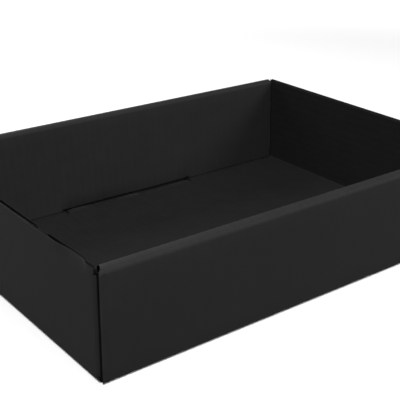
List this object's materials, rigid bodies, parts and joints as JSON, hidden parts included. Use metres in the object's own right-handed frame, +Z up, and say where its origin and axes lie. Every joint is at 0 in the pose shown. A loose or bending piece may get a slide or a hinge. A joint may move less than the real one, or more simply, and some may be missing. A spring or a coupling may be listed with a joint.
{
  "type": "wine gift tray",
  "caption": "Open folded tray in black corrugated board for wine bottles lying down: double long walls rolled over at the rim and locked into the floor, single end walls.",
  "frame": {"origin": "middle of the floor's underside, on the surface the tray stands on", "axes": "+X along the tray from one single end wall to the other, +Y across it from the front long wall to the back one, +Z up"},
  "size_m": [0.336, 0.2416, 0.076],
  "materials": {
    "black_board": "matt black-lined corrugated board, fine flutes just showing through the liner, raw cut edges"
  },
  "bodies": {
    "root": {"tray": "black_board"}
  },
  "joints": []
}
